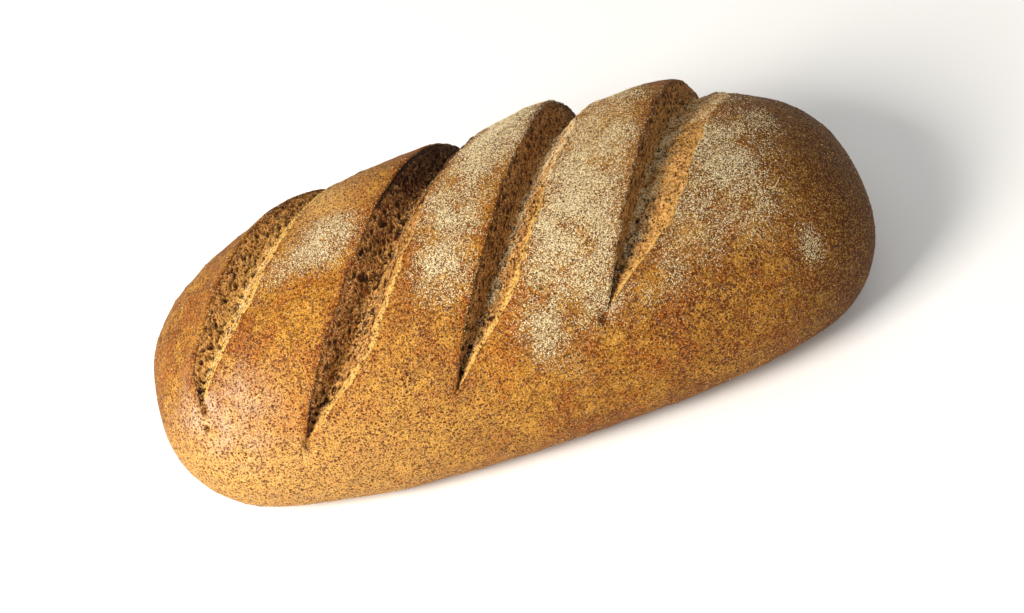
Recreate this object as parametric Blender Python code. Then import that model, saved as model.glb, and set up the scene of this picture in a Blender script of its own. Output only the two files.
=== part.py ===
# A whole-grain bread loaf, baked without a tin on its own flat base, with four slanting slashes across its back.
# Metres, +Z up and +X along the loaf. The origin is on the base, under the middle of the loaf.
#
# The skin is one grid. Its columns run the length of the loaf, and its rings run round it, slanting as the slashes
# do, so that each lip, each torn wall's foot and each border of a slash is a ring of its own.

import bpy
import numpy as np

MM = 0.001

# The loaf before it is slashed
HALF_LENGTH = 150 * MM
HALF_WIDTH = 68.5 * MM
DOME_HEIGHT = 95 * MM
BELLY_HEIGHT = 30 * MM  # where the loaf is widest, and where its two tips lie
BASE_HALF_WIDTH = 45.5 * MM
BASE_HALF_LENGTH = 118 * MM  # past this the underside curves up to the tips
SIDE_EXPONENT = 2.2  # of the outline seen from the side: 2 is an ellipse, and more is squarer
PLAN_EXPONENT = 2.85  # of the outline seen from above
BASE_EXPONENT = 2.2  # of the outline of the base
DOME_EXPONENT = 2.15  # of the section above the belly
BELLY_EXPONENT = 2.2  # of the section below it

# The slashes from left to right. "crown" is where the lip crosses the top line, "lean" how far it has moved along
# the loaf by the time it is down at the belly, and "bow" how much it curves. "front" and "back" are the angles
# round the loaf, in degrees from the top line, where the cut ends, and "opens" is how many degrees it takes from
# its front end to its full width. "wall" and "band" are the lengths along the loaf of the torn wall and of the
# stretched band beyond it, and "deep", "lip" and "rim" are depths and heights from the skin.
SLASHES = (
    {"crown": -113 * MM, "lean": 42 * MM, "bow": 27 * MM, "front": -42, "back": 70, "opens": 48,
     "wall": 8 * MM, "band": 14 * MM, "deep": 6 * MM, "lip": 4 * MM, "rim": 0.5 * MM},
    {"crown": -45 * MM, "lean": 49 * MM, "bow": -2 * MM, "front": -72, "back": 78, "opens": 36,
     "wall": 11 * MM, "band": 13 * MM, "deep": 8.5 * MM, "lip": 1.8 * MM, "rim": 0.5 * MM},
    {"crown": 13 * MM, "lean": 43 * MM, "bow": -5.5 * MM, "front": -70, "back": 82, "opens": 36,
     "wall": 7.5 * MM, "band": 11 * MM, "deep": 7.5 * MM, "lip": 4.4 * MM, "rim": 0.2 * MM},
    {"crown": 66.5 * MM, "lean": 38.5 * MM, "bow": -2 * MM, "front": -58, "back": 68, "opens": 36,
     "wall": 5.5 * MM, "band": 18 * MM, "deep": 7.5 * MM, "lip": 5.8 * MM, "rim": -0.5 * MM},
)
BACK_OPENS = 45  # degrees that a slash takes at its back end
FRONT_SHARPNESS = 1.5  # more than 1 draws the front end out to a point
NARROWEST = 1.6 * MM  # of a wall or a band, past the ends of the cut

# The grid
DOME_STEPS = 46
BELLY_STEPS = 6
BASE_STEPS = 8
TIP_RINGS = 9
WALL_RINGS = 4
BAND_RINGS = 4
CRUST_RINGS = 6

CRUST_COLOR = (0.46, 0.22, 0.062, 1.0)
CRUST_ROUGHNESS = 0.75


def superellipse(fraction, exponent):
    """How much of the full size is left at this fraction of the way to the end."""
    return np.maximum(1 - np.abs(fraction) ** exponent, 0) ** (1 / exponent)


def rounded(angle, exponent):
    """The cosine and sine of a superellipse with this exponent."""
    cosine, sine = np.cos(angle), np.sin(angle)
    power = 2 / exponent
    return np.abs(cosine) ** power, np.sign(sine) * np.abs(sine) ** power


def columns():
    """Once round the section: the angle from the top line, how far down the belly, and how far across the base.

    The last one is 1 at the back edge of the base and -1 at its front edge.
    """
    dome = np.linspace(-90, 90, DOME_STEPS + 1)
    belly = np.arange(1, BELLY_STEPS + 1) / BELLY_STEPS
    base = np.linspace(1, -1, BASE_STEPS + 1)[1:-1]
    angle = np.concatenate([dome, np.full(BELLY_STEPS, 90.0), np.sign(base) * 90, np.full(BELLY_STEPS, -90.0)])
    down = np.concatenate([np.zeros(len(dome)), belly, np.ones(len(base)), belly[::-1]])
    across = np.concatenate([np.zeros(len(dome)), np.ones(BELLY_STEPS), base, -np.ones(BELLY_STEPS)])
    return np.radians(angle), down, across


def plain_skin(x, angle, down, across):
    """The loaf before it is slashed, as points for each x and each column."""
    half_width = HALF_WIDTH * superellipse(x / HALF_LENGTH, PLAN_EXPONENT)
    rise = (DOME_HEIGHT - BELLY_HEIGHT) * superellipse(x / HALF_LENGTH, SIDE_EXPONENT)
    cosine, sine = rounded(angle, DOME_EXPONENT)
    y = half_width * sine
    z = BELLY_HEIGHT + rise * cosine
    # Below the belly the section closes in to the edge of the base, and near the tips the base lifts to meet it.
    past_base = np.clip((np.abs(x) - BASE_HALF_LENGTH) / (HALF_LENGTH - BASE_HALF_LENGTH), 0, 1)
    base_height = BELLY_HEIGHT * (1 - np.sqrt(1 - past_base**2))
    base_width = BASE_HALF_WIDTH * superellipse(x / HALF_LENGTH, BASE_EXPONENT)
    inward, downward = rounded(down * np.pi / 2, BELLY_EXPONENT)
    low_y = across * (base_width + (half_width - base_width) * inward)
    low_z = BELLY_HEIGHT - (BELLY_HEIGHT - base_height) * downward
    low = np.broadcast_to(down > 0, x.shape)
    return np.stack([x, np.where(low, low_y, y), np.where(low, low_z, z)], axis=-1)


def opening(slash, angle, down):
    """How open the slash is in each column: 0 past its ends and 1 along its middle."""
    degrees = np.degrees(angle)
    front = np.clip((degrees - slash["front"]) / slash["opens"], 0, 1)
    back = np.clip((slash["back"] - degrees) / BACK_OPENS, 0, 1)
    return np.sin(front * np.pi / 2) ** FRONT_SHARPNESS * np.sin(back * np.pi / 2) * (down == 0)


def guides(angle, down, across):
    """The x of each ring that the form needs, from tip to tip: for each slash its lip, its foot and its border."""
    side = np.where(down > 0, across, np.sin(angle))
    lines = [np.full_like(angle, -HALF_LENGTH)]
    for slash in SLASHES:
        open_here = opening(slash, angle, down)
        lip = slash["crown"] + slash["lean"] * side + slash["bow"] * side**2
        foot = lip + NARROWEST + (slash["wall"] - NARROWEST) * open_here
        border = foot + NARROWEST + (slash["band"] - NARROWEST) * open_here
        lines += [lip, foot, border]
    return lines + [np.full_like(angle, HALF_LENGTH)]


def crust_relief(start, end, along):
    """A strip of crust swells from the low border of one slash to the raised lip of the next."""
    return start + (end - start) * np.sin(along * np.pi / 2)


def wall_relief(lip, deep, along):
    """The torn wall drops from the lip to the foot of the slash, rounded over at both."""
    return lip - (lip + deep) * (1 - np.cos(along * np.pi)) / 2


def band_relief(deep, rim, along):
    """The stretched band climbs gently from the foot to the border."""
    curve = (1 - np.cos(along * np.pi)) / 2
    return -deep + (deep + rim) * (along + curve) / 2


def skin_grid():
    """The x and the relief of every ring, and the columns that they share."""
    angle, down, across = columns()
    lines = guides(angle, down, across)
    heights = [np.zeros_like(angle)]
    for slash in SLASHES:
        open_here = opening(slash, angle, down)
        heights += [slash["lip"] * open_here, slash["deep"] * open_here, slash["rim"] * open_here]
    heights.append(np.zeros_like(angle))

    ring_x, ring_relief = [], []
    last = len(lines) - 2
    for i in range(len(lines) - 1):
        kind = "tip" if i in (0, last) else ("border", "lip", "foot")[i % 3]
        rings = {"tip": TIP_RINGS, "border": CRUST_RINGS, "lip": WALL_RINGS, "foot": BAND_RINGS}[kind]
        for step in range(rings):
            along = step / rings
            if i == 0:
                spread = along**2  # closer together towards the tip, where the loaf rounds off
                relief = heights[1] * along**4
            elif i == last:
                spread = 1 - (1 - along) ** 2
                relief = heights[i] * (1 - along) ** 2
            elif kind == "border":
                spread = along
                relief = crust_relief(heights[i], heights[i + 1], along)
            elif kind == "lip":
                spread = along
                relief = wall_relief(heights[i], heights[i + 1], along)
            else:
                spread = along
                relief = band_relief(heights[i], heights[i + 1], along)
            ring_x.append(lines[i] + (lines[i + 1] - lines[i]) * spread)
            ring_relief.append(relief)
    # The first ring is the left tip itself, a single point that make_loaf adds.
    return np.array(ring_x[1:]), np.array(ring_relief[1:]), (angle, down, across)


def outward(points):
    """Unit normals of a grid of points that is closed in its second direction."""
    along = np.gradient(points, axis=0)
    around = np.roll(points, -1, axis=1) - np.roll(points, 1, axis=1)
    normal = np.cross(along, around)
    return normal / np.linalg.norm(normal, axis=-1, keepdims=True)


def grid_faces(rings, columns_round):
    """Quads between the rings, and a fan of triangles at each tip. The tips are the last two points."""
    ring, column = np.meshgrid(np.arange(rings - 1), np.arange(columns_round), indexing="ij")
    onward = (column + 1) % columns_round
    quads = np.stack(
        [
            ring * columns_round + column,
            (ring + 1) * columns_round + column,
            (ring + 1) * columns_round + onward,
            ring * columns_round + onward,
        ],
        axis=-1,
    ).reshape(-1, 4)
    first = np.arange(columns_round)
    after = (first + 1) % columns_round
    left_tip = rings * columns_round
    right_tip = left_tip + 1
    left = np.stack([np.full_like(first, left_tip), first, after], axis=-1)
    end = (rings - 1) * columns_round
    right = np.stack([np.full_like(first, right_tip), end + after, end + first], axis=-1)
    return quads.tolist() + left.tolist() + right.tolist()


def make_crust_material():
    material = bpy.data.materials.new("baked crust")
    material.use_nodes = True
    shader = material.node_tree.nodes["Principled BSDF"]
    shader.inputs["Base Color"].default_value = CRUST_COLOR
    shader.inputs["Roughness"].default_value = CRUST_ROUGHNESS
    shader.inputs["Metallic"].default_value = 0.0
    return material


def make_loaf():
    x, relief, section = skin_grid()
    plain = plain_skin(x, *(np.broadcast_to(part, x.shape) for part in section))
    points = plain + outward(plain) * relief[..., None]
    tips = np.array([[-HALF_LENGTH, 0, BELLY_HEIGHT], [HALF_LENGTH, 0, BELLY_HEIGHT]])
    rings, columns_round = x.shape
    mesh = bpy.data.meshes.new("loaf")
    vertices = np.concatenate([points.reshape(-1, 3), tips])
    mesh.from_pydata(vertices.tolist(), [], grid_faces(rings, columns_round))
    mesh.materials.append(make_crust_material())
    mesh.shade_smooth()
    loaf = bpy.data.objects.new("loaf", mesh)
    bpy.context.scene.collection.objects.link(loaf)
    return loaf


for old in list(bpy.data.objects):
    bpy.data.objects.remove(old, do_unlink=True)
make_loaf()
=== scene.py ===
import math

import bpy
import numpy as np
from mathutils import Matrix, Vector
from mathutils.bvhtree import BVHTree


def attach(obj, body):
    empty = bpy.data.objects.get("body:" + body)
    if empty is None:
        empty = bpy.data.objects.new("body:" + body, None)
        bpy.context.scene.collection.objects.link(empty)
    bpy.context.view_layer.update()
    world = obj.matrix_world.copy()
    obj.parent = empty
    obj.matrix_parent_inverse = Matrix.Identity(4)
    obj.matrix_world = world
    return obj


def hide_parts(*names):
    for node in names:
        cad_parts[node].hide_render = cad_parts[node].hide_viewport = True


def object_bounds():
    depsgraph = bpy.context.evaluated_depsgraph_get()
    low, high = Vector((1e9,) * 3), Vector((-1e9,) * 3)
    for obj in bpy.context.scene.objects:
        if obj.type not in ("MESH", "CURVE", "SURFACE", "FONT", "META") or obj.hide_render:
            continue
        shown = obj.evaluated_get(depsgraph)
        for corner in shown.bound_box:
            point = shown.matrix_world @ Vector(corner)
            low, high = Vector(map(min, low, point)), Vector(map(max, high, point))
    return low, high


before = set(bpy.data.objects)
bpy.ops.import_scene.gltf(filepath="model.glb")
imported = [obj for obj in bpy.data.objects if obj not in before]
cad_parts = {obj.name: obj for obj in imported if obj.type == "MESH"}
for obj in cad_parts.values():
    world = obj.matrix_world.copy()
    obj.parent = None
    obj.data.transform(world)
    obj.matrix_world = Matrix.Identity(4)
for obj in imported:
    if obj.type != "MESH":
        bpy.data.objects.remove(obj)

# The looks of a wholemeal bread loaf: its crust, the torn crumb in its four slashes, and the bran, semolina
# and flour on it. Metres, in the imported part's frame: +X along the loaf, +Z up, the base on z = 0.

mm = 0.001
cadLow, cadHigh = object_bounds()

# The loaf before it is slashed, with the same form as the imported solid
loaf = {
    "halfLength": (cadHigh.x - cadLow.x) / 2,
    "halfWidth": (cadHigh.y - cadLow.y) / 2,
    "domeHeight": 95 * mm,
    "bellyHeight": 30 * mm,  # where it is widest
    "baseHalfWidth": 45.5 * mm,
    "baseHalfLength": 118 * mm,  # past this the underside curves up to the tips
    "sideExponent": 2.2,  # 2 is an ellipse, and more is squarer
    "planExponent": 2.85,
    "baseExponent": 2.2,
    "domeExponent": 2.15,
    "bellyExponent": 2.2,
}

# The slashes from left to right. Crown, lean and bow place the lip, and a bulge moves it to the left about 20
# degrees down the front; front and back are the angles from the top line where the cut ends, and opens is how
# many degrees it takes to its full width; wall and band are lengths along the loaf; deep, lip and rim are
# measured from the skin.
slashes = (
    {"crown": -113 * mm, "lean": 42 * mm, "bow": 27 * mm, "front": -44, "back": 70, "opens": 48,
     "wall": 8 * mm, "band": 14 * mm, "deep": 6 * mm, "lip": 4 * mm, "rim": 0.5 * mm, "bulge": 1.8 * mm},
    {"crown": -45 * mm, "lean": 49 * mm, "bow": -2 * mm, "front": -72, "back": 78, "opens": 36,
     "wall": 11 * mm, "band": 13 * mm, "deep": 8.5 * mm, "lip": 1.8 * mm, "rim": 0.5 * mm},
    {"crown": 13 * mm, "lean": 43 * mm, "bow": -5.5 * mm, "front": -70, "back": 82, "opens": 36,
     "wall": 7.5 * mm, "band": 11 * mm, "deep": 7.5 * mm, "lip": 4.4 * mm, "rim": 0.2 * mm},
    {"crown": 66.5 * mm, "lean": 38.5 * mm, "bow": -2 * mm, "front": -58, "back": 68, "opens": 36,
     "wall": 5.5 * mm, "band": 18 * mm, "deep": 7.5 * mm, "lip": 5.8 * mm, "rim": -0.5 * mm},
)
backOpens = 45  # degrees that a slash takes at its back end
frontSharpness = 1.5  # more than 1 draws the front end out to a point
narrowest = 0.3 * mm  # of a wall or a band, past the ends of the cut, so that the cut runs out to a point
skinPerDegree = 1.19 * mm  # length over the dome of one degree
# how far the torn edges wander: the height and size of slow noise, then of quick noise
wanders = {"lip": (1.1 * mm, 9 * mm, 0.6 * mm, 2.6 * mm), "border": (1.2 * mm, 7 * mm, 0.5 * mm, 2 * mm)}


# Noise and small functions


def smoothStep(low, high, value):
    # 0 below low, 1 above high, and an S-curve in between
    part = np.clip((value - low) / (high - low), 0, 1)
    return part * part * (3 - 2 * part)


def latticeRandom(corner, seed):
    # a repeatable random number from 0 to 1 for each lattice corner, by mixing its three whole numbers
    steps = (corner + 4096).astype(np.uint64)
    mixed = steps[..., 0] * 73856093 + steps[..., 1] * 19349663 + steps[..., 2] * 83492791 + seed * 26544357
    for multiplier in (2246822519, 3266489917):
        mixed = mixed & 0xFFFFFFFF
        mixed = ((mixed ^ (mixed >> 15)) * multiplier) & 0xFFFFFFFF
    return (mixed ^ (mixed >> 13)) / 0xFFFFFFFF


turned = np.array(Matrix.Rotation(0.9, 3, Vector((0.5, 0.7, 0.3)).normalized()))


def noise(points, size, seed, layers=1):
    # random numbers on a lattice, blended smoothly between its corners, from -1 to 1; each further layer is
    # turned, half as large and half as high
    total = np.zeros(points.shape[:-1])
    height, reach = 1.0, 0.0
    place = points / size
    for layer in range(layers):
        place = place @ turned
        corner = np.floor(place).astype(np.int64)
        part = place - corner
        part = part**3 * (part * (part * 6 - 15) + 10)
        for step in np.ndindex(2, 2, 2):
            weight = np.prod(np.where(step, part, 1 - part), axis=-1)
            total += height * weight * (2 * latticeRandom(corner + step, seed + layer) - 1)
        reach += height
        height *= 0.5
        place = place * 2
    return total / reach


def cells(points, size, seed):
    # one random point in each cube of the lattice: the distance to the nearest one, and its random number
    place = points / size
    corner = np.floor(place).astype(np.int64)
    nearest = np.full(points.shape[:-1], 9.0)
    tag = np.zeros(points.shape[:-1])
    for step in np.ndindex(3, 3, 3):
        cell = corner + np.array(step) - 1
        spot = cell + np.stack([latticeRandom(cell, seed + i) for i in (11, 23, 37)], axis=-1)
        away = np.linalg.norm(spot - place, axis=-1)
        closer = away < nearest
        nearest = np.where(closer, away, nearest)
        tag = np.where(closer, latticeRandom(cell, seed + 51), tag)
    return nearest * size, tag


# The form


def superellipse(fraction, exponent):
    # how much of the full size is left at this fraction of the way to the end
    return np.maximum(1 - np.abs(fraction) ** exponent, 0) ** (1 / exponent)


def rounded(angle, exponent):
    # the cosine and the sine, each raised to two over the exponent with its sign kept
    cosine, sine = np.cos(angle), np.sin(angle)
    return np.abs(cosine) ** (2 / exponent), np.sign(sine) * np.abs(sine) ** (2 / exponent)


def section(turn):
    # once round the loaf is 300: the dome is -90 to 90 degrees, the back belly to 120, the base to 180 and
    # the front belly to 210. Gives the angle, how far down the belly and how far across the base.
    turn = (turn + 90) % 300 - 90
    angle = np.radians(np.where(turn > 150, -90, np.minimum(turn, 90)))
    down = np.clip(np.minimum(turn - 90, 210 - turn) / 30, 0, 1)
    across = np.where(turn > 90, np.clip((150 - turn) / 30, -1, 1), 0)
    return angle, down, across


def plainSkin(x, turn):
    # superellipses from above, from the side and round the section, with a flat base that lifts at both ends
    angle, down, across = section(turn)
    fraction = x / loaf["halfLength"]
    halfWidth = loaf["halfWidth"] * superellipse(fraction, loaf["planExponent"])
    rise = (loaf["domeHeight"] - loaf["bellyHeight"]) * superellipse(fraction, loaf["sideExponent"])
    cosine, sine = rounded(angle, loaf["domeExponent"])
    pastBase = (np.abs(x) - loaf["baseHalfLength"]) / (loaf["halfLength"] - loaf["baseHalfLength"])
    baseHeight = loaf["bellyHeight"] * (1 - np.sqrt(1 - np.clip(pastBase, 0, 1) ** 2))
    baseWidth = loaf["baseHalfWidth"] * superellipse(fraction, loaf["baseExponent"])
    inward, downward = rounded(down * np.pi / 2, loaf["bellyExponent"])
    low = down > 0
    y = np.where(low, across * (baseWidth + (halfWidth - baseWidth) * inward), halfWidth * sine)
    z = np.where(
        low,
        loaf["bellyHeight"] - (loaf["bellyHeight"] - baseHeight) * downward,
        loaf["bellyHeight"] + rise * cosine,
    )
    return np.stack([x + 0 * y, y, z], axis=-1)


def skinNormal(x, turn):
    # the cross product of the skin's two directions, each from a small step both ways
    reach = loaf["halfLength"]
    step = 0.02 * (reach - np.abs(x)) + 0.0001 * mm
    along = plainSkin(np.minimum(x + step, reach), turn) - plainSkin(np.maximum(x - step, -reach), turn)
    around = plainSkin(x, turn + 0.2) - plainSkin(x, turn - 0.2)
    normal = np.cross(along, around)
    return normal / np.maximum(np.linalg.norm(normal, axis=-1, keepdims=True), 1e-15)


def raised(x, turn, height):
    # the plain skin's point, moved out along its normal by the height
    return plainSkin(x, turn) + skinNormal(x, turn) * height[..., None]


def slashLines(index, turn):
    # the lip, the foot and the border of one slash at each place round the loaf, whether the cut has parted
    # there, and the heights of the three; the lip and the border wander a little, as torn edges do
    slash = slashes[index]
    angle, down, across = section(turn)
    degrees = np.degrees(angle)
    front = np.clip((degrees - slash["front"]) / slash["opens"], 0, 1)
    back = np.clip((slash["back"] - degrees) / backOpens, 0, 1)
    opened = np.sin(front * np.pi / 2) ** frontSharpness * np.sin(back * np.pi / 2) * (down == 0)
    side = np.where(down > 0, across, np.sin(angle))
    place = np.stack([degrees * skinPerDegree, 0 * degrees + index * 50 * mm, 0 * degrees], axis=-1)
    high, size, quickHigh, quickSize = wanders["lip"]
    wander = high * noise(place, size, 70 + index, 3) + quickHigh * noise(place, quickSize, 96 + index, 2)
    bulge = slash.get("bulge", 0) * np.exp(-((degrees + 20) / 12) ** 2)
    lip = slash["crown"] + slash["lean"] * side + slash["bow"] * side**2 - bulge + wander * opened
    foot = lip + narrowest + (slash["wall"] - narrowest) * opened
    border = foot + narrowest + (slash["band"] - narrowest) * opened
    high, size, quickHigh, quickSize = wanders["border"]
    ragged = high * noise(place, size, 80 + index, 3) + quickHigh * noise(place, quickSize, 95, 1)
    border = border + ragged * opened
    lipHeight = opened * (slash["lip"] + 0.7 * mm * noise(place, 11 * mm, 90 + index, 2))
    return {
        "lip": lip, "foot": foot, "border": border, "parted": smoothStep(0.0, 0.16, opened),
        "lipHeight": lipHeight, "deep": slash["deep"] * opened, "rimHeight": slash["rim"] * opened,
    }


def tornRelief(lines, across):
    # across is 0 at the lip, 1 at the foot and 2 at the border: the wall drops as half a cosine wave, and the
    # band climbs halfway between a straight line and one
    wall = (1 - np.cos(np.clip(across, 0, 1) * np.pi)) / 2
    band = np.clip(across - 1, 0, 1)
    climb = (band + (1 - np.cos(band * np.pi)) / 2) / 2
    down = lines["lipHeight"] - (lines["lipHeight"] + lines["deep"]) * wall
    return down + (lines["deep"] + lines["rimHeight"]) * climb


# Meshes


def addObject(name, data):
    made = bpy.data.objects.new(name, data)
    bpy.context.scene.collection.objects.link(made)
    return made


def addPiece(name, mesh):
    piece = addObject(name, mesh)
    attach(piece, "root")
    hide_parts("loaf")
    return piece


def meshFrom(name, vertices, *faces):
    # vertices, and one array of faces for each number of corners
    loops = np.concatenate([array.ravel() for array in faces])
    counts = np.concatenate([np.full(len(array), array.shape[1]) for array in faces])
    mesh = bpy.data.meshes.new(name)
    mesh.vertices.add(len(vertices))
    mesh.vertices.foreach_set("co", vertices.ravel())
    mesh.loops.add(len(loops))
    mesh.loops.foreach_set("vertex_index", loops.astype(np.int32))
    mesh.polygons.add(len(counts))
    mesh.polygons.foreach_set("loop_start", (np.cumsum(counts) - counts).astype(np.int32))
    mesh.update(calc_edges=True)
    return mesh


def addField(mesh, name, values):
    # one number at each vertex, for a material to read
    mesh.attributes.new(name, "FLOAT", "POINT").data.foreach_set("value", values.astype(np.float32))


def closedSurface(name, points, material, fields, ends=None):
    # points on a grid of rings, each closed on itself, with a fan of triangles over each end. The faces are
    # turned to point outwards, and a UV map unrolls the grid.
    rings, around = points.shape[:2]
    if ends is None:
        ends = np.array([points[0].mean(axis=0), points[-1].mean(axis=0)])
    ring, column = np.meshgrid(np.arange(rings - 1), np.arange(around), indexing="ij")
    onward = (column + 1) % around
    corners = ((ring, column), (ring + 1, column), (ring + 1, onward), (ring, onward))
    quads = np.stack([r * around + c for r, c in corners], axis=-1).reshape(-1, 4)
    first = np.arange(around)
    after = (first + 1) % around
    tip = rings * around
    last = (rings - 1) * around
    fans = np.concatenate([
        np.stack([first * 0 + tip, first, after], axis=-1),
        np.stack([first * 0 + tip + 1, last + after, last + first], axis=-1),
    ])
    vertices = np.concatenate([points.reshape(-1, 3), ends])
    unrolled = [np.stack([(ring + r) / (rings - 1), (column + c) / around], axis=-1)
                for r, c in ((0, 0), (1, 0), (1, 1), (0, 1))]
    quadPlaces = np.stack(unrolled, axis=-2).reshape(-1, 2)
    middle, near, far = (first + 0.5) / around, first / around, (first + 1) / around
    fanPlaces = np.concatenate([
        np.stack([np.stack([0 * side + end, side], axis=-1) for side in sides], axis=-2)
        for end, sides in ((0, (middle, near, far)), (1, (middle, far, near)))
    ]).reshape(-1, 2)
    halves = np.concatenate([quads[:, :3], quads[:, [0, 2, 3]], fans])
    volume = np.linalg.det(vertices[halves]).sum()
    if volume < 0:
        quads, fans = quads[:, ::-1], fans[:, ::-1]
        quadPlaces = quadPlaces.reshape(-1, 4, 2)[:, ::-1].reshape(-1, 2)
        fanPlaces = fanPlaces.reshape(-1, 3, 2)[:, ::-1].reshape(-1, 2)
    mesh = meshFrom(name, vertices, quads, fans)
    mesh.uv_layers.new(name="OFBake", do_init=False)
    mesh.uv_layers["OFBake"].uv.foreach_set("vector", np.concatenate([quadPlaces, fanPlaces]).ravel())
    for key, values in fields.items():
        addField(mesh, key, np.append(values.ravel(), [values[0].mean(), values[-1].mean()]))
    mesh.shade_smooth()
    mesh.materials.append(material)
    return addPiece(name, mesh)


# Materials


def colour(hexValue):
    # an sRGB hex value as linear red, green, blue and alpha
    channels = [int(hexValue[i:i + 2], 16) / 255 for i in (1, 3, 5)]
    return [c / 12.92 if c <= 0.04045 else ((c + 0.055) / 1.055) ** 2.4 for c in channels] + [1.0]


def addNode(material, kind, inputs=None, **settings):
    # one node: settings go on it, and each input takes a value or another node's output
    node = material.node_tree.nodes.new("ShaderNode" + kind)
    for key, value in settings.items():
        setattr(node, key, value)
    for key, value in (inputs or {}).items():
        if isinstance(value, bpy.types.NodeSocket):
            material.node_tree.links.new(value, node.inputs[key])
        else:
            node.inputs[key].default_value = value
    return node


def newMaterial(name, **settings):
    material = bpy.data.materials.new(name)
    material.use_nodes = True
    shader = material.node_tree.nodes["Principled BSDF"]
    for key, value in settings.items():
        shader.inputs[key].default_value = value
    return material, shader


def makeBakedMaterial(name, finish):
    # layers of colour, each where its masks are: a mask follows a field of the piece, a noise, or a cell's
    # distance or random number, and comes in from one value of it to another. Some of the same noises and
    # cells raise the surface. A grain is dusted where its random number is below the flour's field.
    material, shader = newMaterial(name, Roughness=finish["roughness"], IOR=1.42)
    shader.inputs["Specular IOR Level"].default_value = finish["gloss"]
    place = addNode(material, "TexCoord").outputs["Object"]
    warp = addNode(material, "TexNoise", {"Vector": place, "Scale": 1 / (2.5 * mm), "Detail": 2.0})
    bend = (1.2 * mm,) * 3
    bent = addNode(material, "VectorMath", {0: warp.outputs["Color"], 1: bend, 2: place},
                   operation="MULTIPLY_ADD").outputs[0]
    sources = {}
    for field in finish["fields"]:
        sources[field] = addNode(material, "Attribute", attribute_name=field).outputs["Fac"]
    for pattern, size in finish["noises"].items():
        inputs = {"Vector": place, "Scale": 1 / size, "Detail": 4.0, "Roughness": 0.6}
        sources[pattern] = addNode(material, "TexNoise", inputs).outputs["Fac"]
    for pattern, size in finish["cells"].items():
        cell = addNode(material, "TexVoronoi", {"Vector": bent, "Scale": 1 / size})
        tones = addNode(material, "SeparateColor", {"Color": cell.outputs["Color"]})
        sources[pattern] = cell.outputs["Distance"]
        sources[pattern + "Tone"] = tones.outputs["Red"]
        sources[pattern + "Other"] = tones.outputs["Green"]
    sources["dusted"] = addNode(material, "Math", {0: sources["flour"], 1: sources["grainOther"]},
                                operation="SUBTRACT").outputs[0]
    skin = colour(finish["base"])
    for hexValue, strength, *masks in finish["layers"]:
        factor = strength
        for source, low, high in masks:
            inputs = {"Value": sources[source], "From Min": low, "From Max": high}
            part = addNode(material, "MapRange", inputs).outputs[0]
            factor = addNode(material, "Math", {0: part, 1: factor}, operation="MULTIPLY").outputs[0]
        mix = addNode(material, "Mix", {0: factor, 6: skin, 7: colour(hexValue)}, data_type="RGBA")
        skin = mix.outputs[2]
    rise = 0.0
    for source, height in finish["rises"].items():
        rise = addNode(material, "Math", {0: sources[source], 1: height, 2: rise},
                       operation="MULTIPLY_ADD").outputs[0]
    bump = addNode(material, "Bump", {"Height": rise, "Distance": finish["relief"], "Strength": 1.0})
    material.node_tree.links.new(skin, shader.inputs["Base Color"])
    material.node_tree.links.new(bump.outputs["Normal"], shader.inputs["Normal"])
    return material


# wholemeal crust, baked on a stone: a thin dry skin, golden to brown, grainy with milled bran that shows as
# dark and reddish flecks, faintly glossy where the starch has set, and with flour on its grains
crustFinish = {
    "fields": ("flour", "bakedAndShade", "dark", "paleAndLit", "paintedSheen", "ruddy", "speckled"),
    "noises": {"broad": 24 * mm, "patchy": 9 * mm, "fine": 3 * mm},
    "cells": {"grain": 0.42 * mm,  # milled grain is half as large, and is drawn to show
              "fleck": 1.3 * mm, "bran": 1.9 * mm},
    "base": "#A9701E",  # golden
    # each is a colour, its strength, and its masks: what it follows, and where it comes in
    "layers": (
        ("#7F4810", 1.0, ("broad", 0.4, 0.64)),  # brown
        ("#984C0E", 0.75, ("patchy", 0.5, 0.62)),  # reddish
        ("#C88E32", 0.7, ("patchy", 0.48, 0.36)),  # yellow
        ("#552B08", 0.7, ("fine", 0.52, 0.7)),
        # lighter: the scars and golden spots are the crust's own colour; the front of the left end is partly
        # lighter crust and partly painted light where the key light falls
        ("#D8A75E", 1.0, ("paleAndLit", 0, 1)),
        # a painted sheen: a whitish highlight painted into the crust's colour
        ("#E2CFC2", 1.0, ("paintedSheen", 0, 1)),  # a whitish sheen
        ("#B1601A", 1.0, ("ruddy", 0, 1)),
        # crust browned darker at the lips, past the borders and on the base, and painted shade in the small
        # tears
        ("#7C3506", 1.0, ("bakedAndShade", 0, 1)),
        # darker towards the right end, partly browner crust and partly painted shade where the light falls
        # off; painted shade in the small tears and on the crust's edge where it turns down into a cut
        ("#371804", 1.0, ("dark", 0, 1)),
        ("#DDA550", 0.5, ("grainTone", 0.6, 0.95)),
        ("#42210A", 0.7, ("grainTone", 0.45, 0.1)),
        ("#5F280A", 0.85, ("fleck", 0.46, 0.3), ("fleckTone", 0.5, 0.54)),
        ("#4A1C0C", 0.8, ("fleck", 0.5, 0.36), ("speckled", 0.3, 0.7)),
        ("#451D0D", 0.8, ("bran", 0.34, 0.22), ("branTone", 0.5, 0.54)),
        # painted shade between the grains of flour
        ("#5A4324", 0.85, ("flour", 0.08, 0.56)),  # dark between the grains of flour
        ("#E9DBAE", 0.9, ("dusted", -0.02, 0.2)),
    ),
    "rises": {"fine": 2.0, "grain": -1.4, "bran": -0.5},
    "relief": 0.25 * mm, "roughness": 0.6, "gloss": 0.12,
}
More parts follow.
